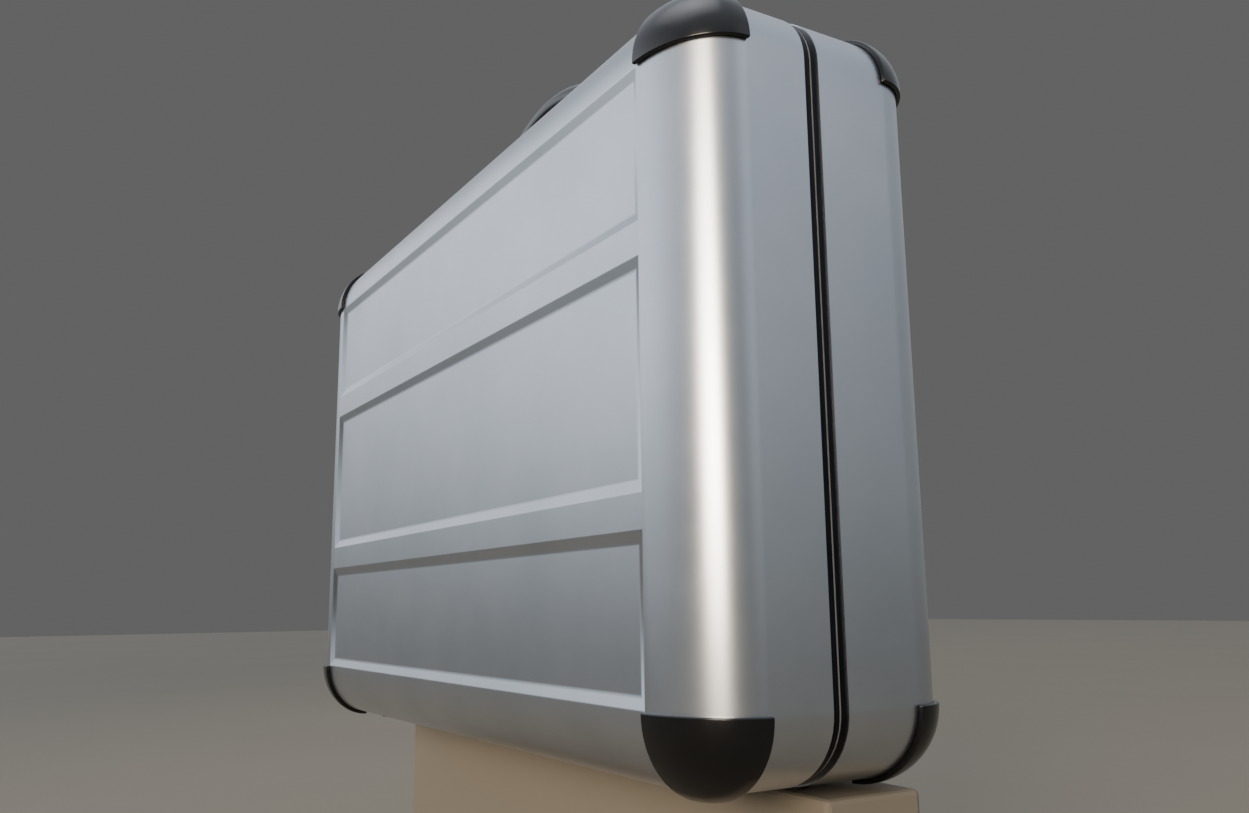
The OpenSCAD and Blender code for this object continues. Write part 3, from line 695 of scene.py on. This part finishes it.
def bowedGrip():
    # The left half: its oval section turned round the flat arc, then round the tight corner
    arcZ = case["top"] + grip["rise"] - grip["thick"] / 2 - grip["arc"]
    turn = math.radians(grip["halfArc"])
    cornerX = (grip["arc"] - grip["corner"]) * math.sin(turn)
    cornerZ = arcZ + (grip["arc"] - grip["corner"]) * math.cos(turn)
    oval = ((grip["thick"] - grip["sideFlat"]) / 2, grip["sideRound"])
    deselectAll()
    bpy.ops.mesh.primitive_plane_add(size=2, rotation=(0, math.pi / 2, 0))
    bow = bpy.context.object
    bow.name = bow.data.name = "handleBow"
    bpy.ops.object.transform_apply(location=False, rotation=True, scale=False)
    startEdit(bow, "VERT", everything=True)
    bpy.ops.transform.resize(value=(1, grip["wide"] / 2 / oval[1], grip["thick"] / 2 / oval[0]),
                             center_override=(0, 0, 0))
    bpy.ops.mesh.bevel(offset=1, segments=10, affect="VERTICES", clamp_overlap=False)
    bpy.ops.mesh.select_all(action="SELECT")
    bpy.ops.transform.resize(value=(1, oval[1] * mm, oval[0] * mm), center_override=(0, 0, 0))
    bpy.ops.transform.translate(value=(0, grip["y"] * mm, (arcZ + grip["arc"]) * mm))
    bpy.ops.mesh.select_mode(type="FACE")
    bpy.ops.mesh.select_all(action="SELECT")
    bpy.ops.mesh.spin(steps=12, angle=turn, center=(0, grip["y"] * mm, arcZ * mm), axis=(0, 1, 0))
    bpy.ops.mesh.spin(steps=20, angle=math.pi / 2 - turn, axis=(0, 1, 0),
                      center=(-cornerX * mm, grip["y"] * mm, cornerZ * mm))
    bpy.ops.mesh.extrude_region_move(
        TRANSFORM_OT_translate={"value": (0, 0, (case["top"] + grip["legEnd"] - cornerZ) * mm)})
    bpy.ops.mesh.inset(thickness=grip["endInset"] * mm, depth=0)
    pickFaces(bow, lambda middle, normal: abs(middle.x) < hair and abs(normal.x) > 0.99)
    bpy.ops.mesh.delete(type="FACE")  # the halves join here
    bpy.ops.mesh.select_all(action="SELECT")
    bpy.ops.mesh.normals_make_consistent(inside=False)
    endEdit()
    applyModifier(bow, "MIRROR", use_axis=(True, False, False), use_clip=True)
    easeEdges(bow, grip["ease"], segments=3, angle=50)
    smooth(bow, 35)
    return bow


# Linings, pocket and pen loops

lining = {"inset": 3.0, "face": 52.4, "reach": (50, 32, 42), "openEdge": 14.3, "thickness": 1.2,
          "ease": 0.4, "pipingRadius": 1.1, "pipingSides": 8, "pipingStart": 1.4}


def linedTray(name, side):
    size = (2 * (case["half"][0] - lining["inset"]), 2 * (lining["face"] + extraDepth(side)),
            2 * (case["half"][2] - lining["inset"]))
    tray = roundedBlock(name, size, lining["reach"], case["roundSteps"])
    cutAway(tray, (0, side * lining["openEdge"], 0), (0, -side, 0))
    applyModifier(tray, "SOLIDIFY", thickness=lining["thickness"] * mm, offset=-1,
                  use_even_offset=True)
    easeEdges(tray, lining["ease"], angle=60)
    smooth(tray, 40)
    return tray


def liningPiping(name, side):
    # Round cord sewn along the tray's open edge
    radius = lining["pipingRadius"]
    middle = lining["openEdge"] + lining["pipingStart"]
    stations = []
    for i in range(lining["pipingSides"]):
        turn = math.tau * i / lining["pipingSides"]
        inset = lining["inset"] + lining["thickness"] + radius * (1 - math.cos(turn))
        corner = [reach - (inset - lining["inset"]) for reach in lining["reach"][::2]]
        stations.append((side * (middle + radius * math.sin(turn)), inset, corner))
    ring = bridgeLoops(name, stations)
    smooth(ring, 60)
    return ring


# low and high are measured from the case's middle; each step is an inset and its share of fullness
pocket = {"halfWidth": 175, "low": -100, "high": 55, "back": -51.15, "fullness": 1.19,
          "steps": ((3, 0.1), (4, 0.45), (8, 0.35), (16, 0.3), (24, 0.15)), "cloth": 0.7,
          "hem": 9, "hemThick": 1.5, "hemStand": 1.0, "hemEase": 0.6}
stitch = {"length": 2.6, "thread": 0.55, "ease": 0.2, "pitch": 4.2, "margin": 2, "hemMargin": 1.6,
          "stand": 0.75}


def stitchRow(name, start, along, length):
    # One stitch is modelled, then repeated along the row
    size = [stitch["length"] if a else stitch["thread"] for a in along]
    row = easedBlock(name, size, start, stitch["ease"], 1)
    applyModifier(row, "ARRAY", count=int(length / stitch["pitch"]), use_relative_offset=False,
                  use_constant_offset=True,
                  constant_offset_displace=[a * stitch["pitch"] * mm for a in along])
    return row


def sewnPocket():
    # A cloth panel sewn down on three sides, standing a little full of the lining
    width = 2 * pocket["halfWidth"]
    height = pocket["high"] - pocket["low"]
    middleZ = case["middle"] + (pocket["low"] + pocket["high"]) / 2
    deselectAll()
    bpy.ops.mesh.primitive_plane_add(size=1, rotation=(math.pi / 2, 0, 0),
                                     location=(0, pocket["back"] * mm, middleZ * mm))
    panel = bpy.context.object
    panel.name = panel.data.name = "documentPocket"
    panel.scale = (width * mm, height * mm, 1)
    bpy.ops.object.transform_apply(location=True, rotation=True, scale=True)
    startEdit(panel, everything=True)
    bpy.ops.mesh.flip_normals()  # so that the panel faces the open side
    for inset, share in pocket["steps"]:
        bpy.ops.mesh.inset(thickness=inset * mm, depth=share * pocket["fullness"] * mm)

    def onBorder(a, b):
        upright = abs(a.x - b.x) < hair and abs(a.x) > pocket["halfWidth"] - hair
        level = abs(a.z - b.z) < hair and abs(abs(a.z - middleZ) - height / 2) < hair
        return upright or level

    pickEdges(panel, onBorder)
    bpy.ops.transform.edge_crease(value=1)
    bpy.ops.transform.vert_crease(value=1)
    endEdit()
    applyModifier(panel, "SUBSURF", levels=3, render_levels=3)
    applyModifier(panel, "SOLIDIFY", thickness=pocket["cloth"] * mm, offset=1)
    smooth(panel, 60)
    return panel


def pocketHem():
    # The folded band along the pocket's open top edge
    size = (2 * pocket["halfWidth"], pocket["hemThick"], pocket["hem"])
    place = (0, pocket["back"] + pocket["hemStand"],
             case["middle"] + pocket["high"] - pocket["hem"] / 2)
    hem = easedBlock("pocketHem", size, place, pocket["hemEase"], 4)
    smooth(hem, 50)
    return hem


def pocketStitches():
    margin = stitch["margin"]
    half = pocket["halfWidth"] - margin
    level = 2 * half - margin
    upright = pocket["high"] - pocket["low"] - pocket["hem"] - 2 * margin
    y = pocket["back"] + stitch["stand"]
    low = case["middle"] + pocket["low"] + margin
    high = case["middle"] + pocket["high"] - pocket["hem"] + stitch["hemMargin"]
    rows = [stitchRow("hemRow", (-half + margin, y + pocket["hemStand"], high), (1, 0, 0), level),
            stitchRow("lowRow", (-half + margin, y, low), (1, 0, 0), level),
            stitchRow("leftRow", (-half, y, low + margin), (0, 0, 1), upright),
            stitchRow("rightRow", (half, y, low + margin), (0, 0, 1), upright)]
    return joinPieces(rows, "pocketStitches")


penLoop = {"pitch": 26, "width": 16, "low": 72, "high": 92, "rise": 2.0, "tack": 2, "bulge": 0.7,
           "cloth": 0.8, "ease": 0.2}


def elasticLoops():
    # Elastic webbing, tacked down at both sides and arched between them
    made = []
    z = case["middle"] + (penLoop["low"] + penLoop["high"]) / 2
    for i in (-1, 0, 1):
        centre = i * penLoop["pitch"]
        deselectAll()
        bpy.ops.mesh.primitive_grid_add(x_subdivisions=16, y_subdivisions=2, size=1,
                                        rotation=(math.pi / 2, 0, 0),
                                        location=(centre * mm, pocket["back"] * mm, z * mm))
        loop = bpy.context.object
        loop.scale = (penLoop["width"] * mm, (penLoop["high"] - penLoop["low"]) * mm, 1)
        bpy.ops.object.transform_apply(location=True, rotation=True, scale=True)
        startEdit(loop, "VERT")
        mesh = bmesh.from_edit_mesh(loop.data)
        for vert in mesh.verts:
            away = min(1, abs(vert.co.x / mm - centre) / (penLoop["width"] / 2 - penLoop["tack"]))
            vert.co.y += penLoop["rise"] * mm * math.cos(away * math.pi / 2) ** penLoop["bulge"]
        bmesh.update_edit_mesh(loop.data)
        bpy.ops.mesh.select_all(action="SELECT")
        bpy.ops.mesh.flip_normals()
        endEdit()
        applyModifier(loop, "SOLIDIFY", thickness=penLoop["cloth"] * mm, offset=1)
        made.append(loop)
    loops = joinPieces(made, "elasticPenLoops")
    easeEdges(loops, penLoop["ease"], angle=50)
    smooth(loops, 50)
    return loops


# Hardware

# How far each kind of fixing has its edges eased, under the start of its node's name
easing = {"hinge_leaf": 0.3, "hinge_pins": 0.4, "base_rivets": 0.8, "lid_rivets": 0.8, "feet": 1.2,
          "handle_tang": 0.5, "handle_bracket": 0.45, "handle_pins": 0.6, "bracket_screws": 0.8,
          "latch_case": 0.6, "latch_hasp": 0.4, "hasp_pins": 0.3, "latch_button": 0.3,
          "dial": 0.25, "dial_axles": 0.2, "latch_screws": 0.5, "catch_plate": 0.35,
          "stay_base_link": 0.3, "stay_lid_link": 0.3, "stay_elbow": 0.5, "stay_studs": 0.5,
          "guard_screws": 0.4}


def dressedCopy(node):
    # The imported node's own shape, with its triangles merged into whole faces and its edges eased
    piece = bpy.data.objects.new(camelName(node), frame["nodes"][node].data.copy())
    piece.data.name = piece.name
    bpy.context.scene.collection.objects.link(piece)
    startEdit(piece, "VERT", everything=True)
    bpy.ops.mesh.remove_doubles(threshold=0.002 * mm)
    bpy.ops.mesh.dissolve_limited(angle_limit=math.radians(0.5))
    endEdit()
    if piece.data.has_custom_normals:
        bpy.ops.mesh.customdata_custom_splitnormals_clear()
    kinds = [kind for kind in easing if node.startswith(kind)]
    easeEdges(piece, easing[max(kinds, key=len)], segments=3, angle=30)
    smooth(piece, 30)
    return piece


# textSize is the font's, which makes a digit about 2.5 high
dialDigits = {"radius": 4.604, "textSize": 3.375, "thickness": 0.05}


def wheelDigits(node):
    # Ten digits round a wheel, each set flat on one of its ten flats
    low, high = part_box(node)
    centre = (low + high) / 2
    digits = []
    for number in range(10):
        deselectAll()
        bpy.ops.object.text_add()
        text = bpy.context.object
        text.data.body = str(number)
        text.data.align_x = text.data.align_y = "CENTER"
        text.data.size = dialDigits["textSize"] * mm
        text.data.extrude = dialDigits["thickness"] / 2 * mm
        bpy.ops.object.convert(target="MESH")
        digit = bpy.context.object
        turn = Matrix.Rotation(-number * math.tau / 10, 4, "X")
        lift = Matrix.Translation((0, 0, dialDigits["radius"] * mm))
        digit.data.transform(Matrix.Translation(centre) @ turn @ lift)
        startEdit(digit, "VERT", everything=True)
        bpy.ops.mesh.remove_doubles(threshold=0.001 * mm)
        endEdit()
        digits.append(digit)
    return joinPieces(digits, camelName(node.replace("dial", "dialDigits")))


# Build

standCamera()
layFloor()
lightStudio()
print("camera, floor and light are up")

finishes = {
    "shell_aluminium": satinAnodisedAluminium(),
    "black_frame": blackAnodisedExtrusion(),
    "guard_plastic": mouldedPlastic("mouldedBlackAbs", "#060607", "#0b0b0d", 0.17),
    "grip_plastic": mouldedPlastic("glossyBlackNylon", "#08080a", "#0f0f12", 0.12),
    "seal_rubber": pressedRubber("pressedRubber", "#232325", "#2d2d30"),
    "bright_plate": satinNickelPlate(),
    "steel": zincPlatedSteel(),
    "dial_metal": nickelledBrass(),
    "lining_fabric": wovenCloth("wovenPolyesterLining", 1.2, "#3d4046", "#5c6068"),
}
# The seal strip's lighter grey is partly its rubber and partly a painted highlight: it stands in for
# the light line along the band between the frames
sealWithPaintedHighlight = pressedRubber("extrudedSealStrip", "#5f5f62", "#6e6e71")
webbing = wovenCloth("elasticWebbing", 0.9, "#18181b", "#2c2c31")
stitching = wovenCloth("stitchingThread", 0.5, "#8a8c92", "#a5a7ad")
enamel = digitPaint()

for half, side in (("lid", -1), ("base", 1)):
    finishPiece(pressedShell(f"{half}Shell", side), half, "shell_aluminium",
                finishes["shell_aluminium"], f"{half}_shell")
    finishPiece(extrudedFrame(f"{half}Frame", side), half, "black_frame",
                finishes["black_frame"], f"{half}_frame")
finishPiece(pressedSeal(), "base", "seal_rubber", sealWithPaintedHighlight, "gasket")
print("shells, frames and seal are made")

for piece, half, node in cornerGuards():
    finishPiece(piece, half, "guard_plastic", finishes["guard_plastic"], node)
finishPiece(bowedGrip(), "handle", "grip_plastic", finishes["grip_plastic"], "handle_grip")
print("guards and handle are made")

for half, side in (("lid", -1), ("base", 1)):
    finishPiece(linedTray(f"{half}Lining", side), half, "lining_fabric",
                finishes["lining_fabric"], f"{half}_lining")
    finishPiece(liningPiping(f"{half}LiningPiping", side), half, "lining_fabric", webbing)
panel = finishPiece(sewnPocket(), "lid", "lining_fabric", finishes["lining_fabric"],
                    "document_pocket")
hem = finishPiece(pocketHem(), "lid", "lining_fabric", webbing)
stitches = finishPiece(pocketStitches(), "lid", "lining_fabric", stitching)
finishPiece(elasticLoops(), "lid", "lining_fabric", webbing, "pen_loops")
print("linings, pocket and pen loops are made")

bodies = frame["record"]["behaviour"]["bodies"]
bodyOf = {node: body for body, nodes in bodies.items() for node in nodes}
for part in frame["record"]["subparts"]:
    node, slotName = part["node"], part["material_slot"]
    if frame["nodes"][node].hide_render:
        continue  # a piece made above stands for it
    finishPiece(dressedCopy(node), bodyOf[node], slotName, finishes[slotName], node)
    if slotName == "dial_metal":
        finishPiece(wheelDigits(node), bodyOf[node], slotName, enamel)
print("hinges, latches, stays and fixings are dressed")
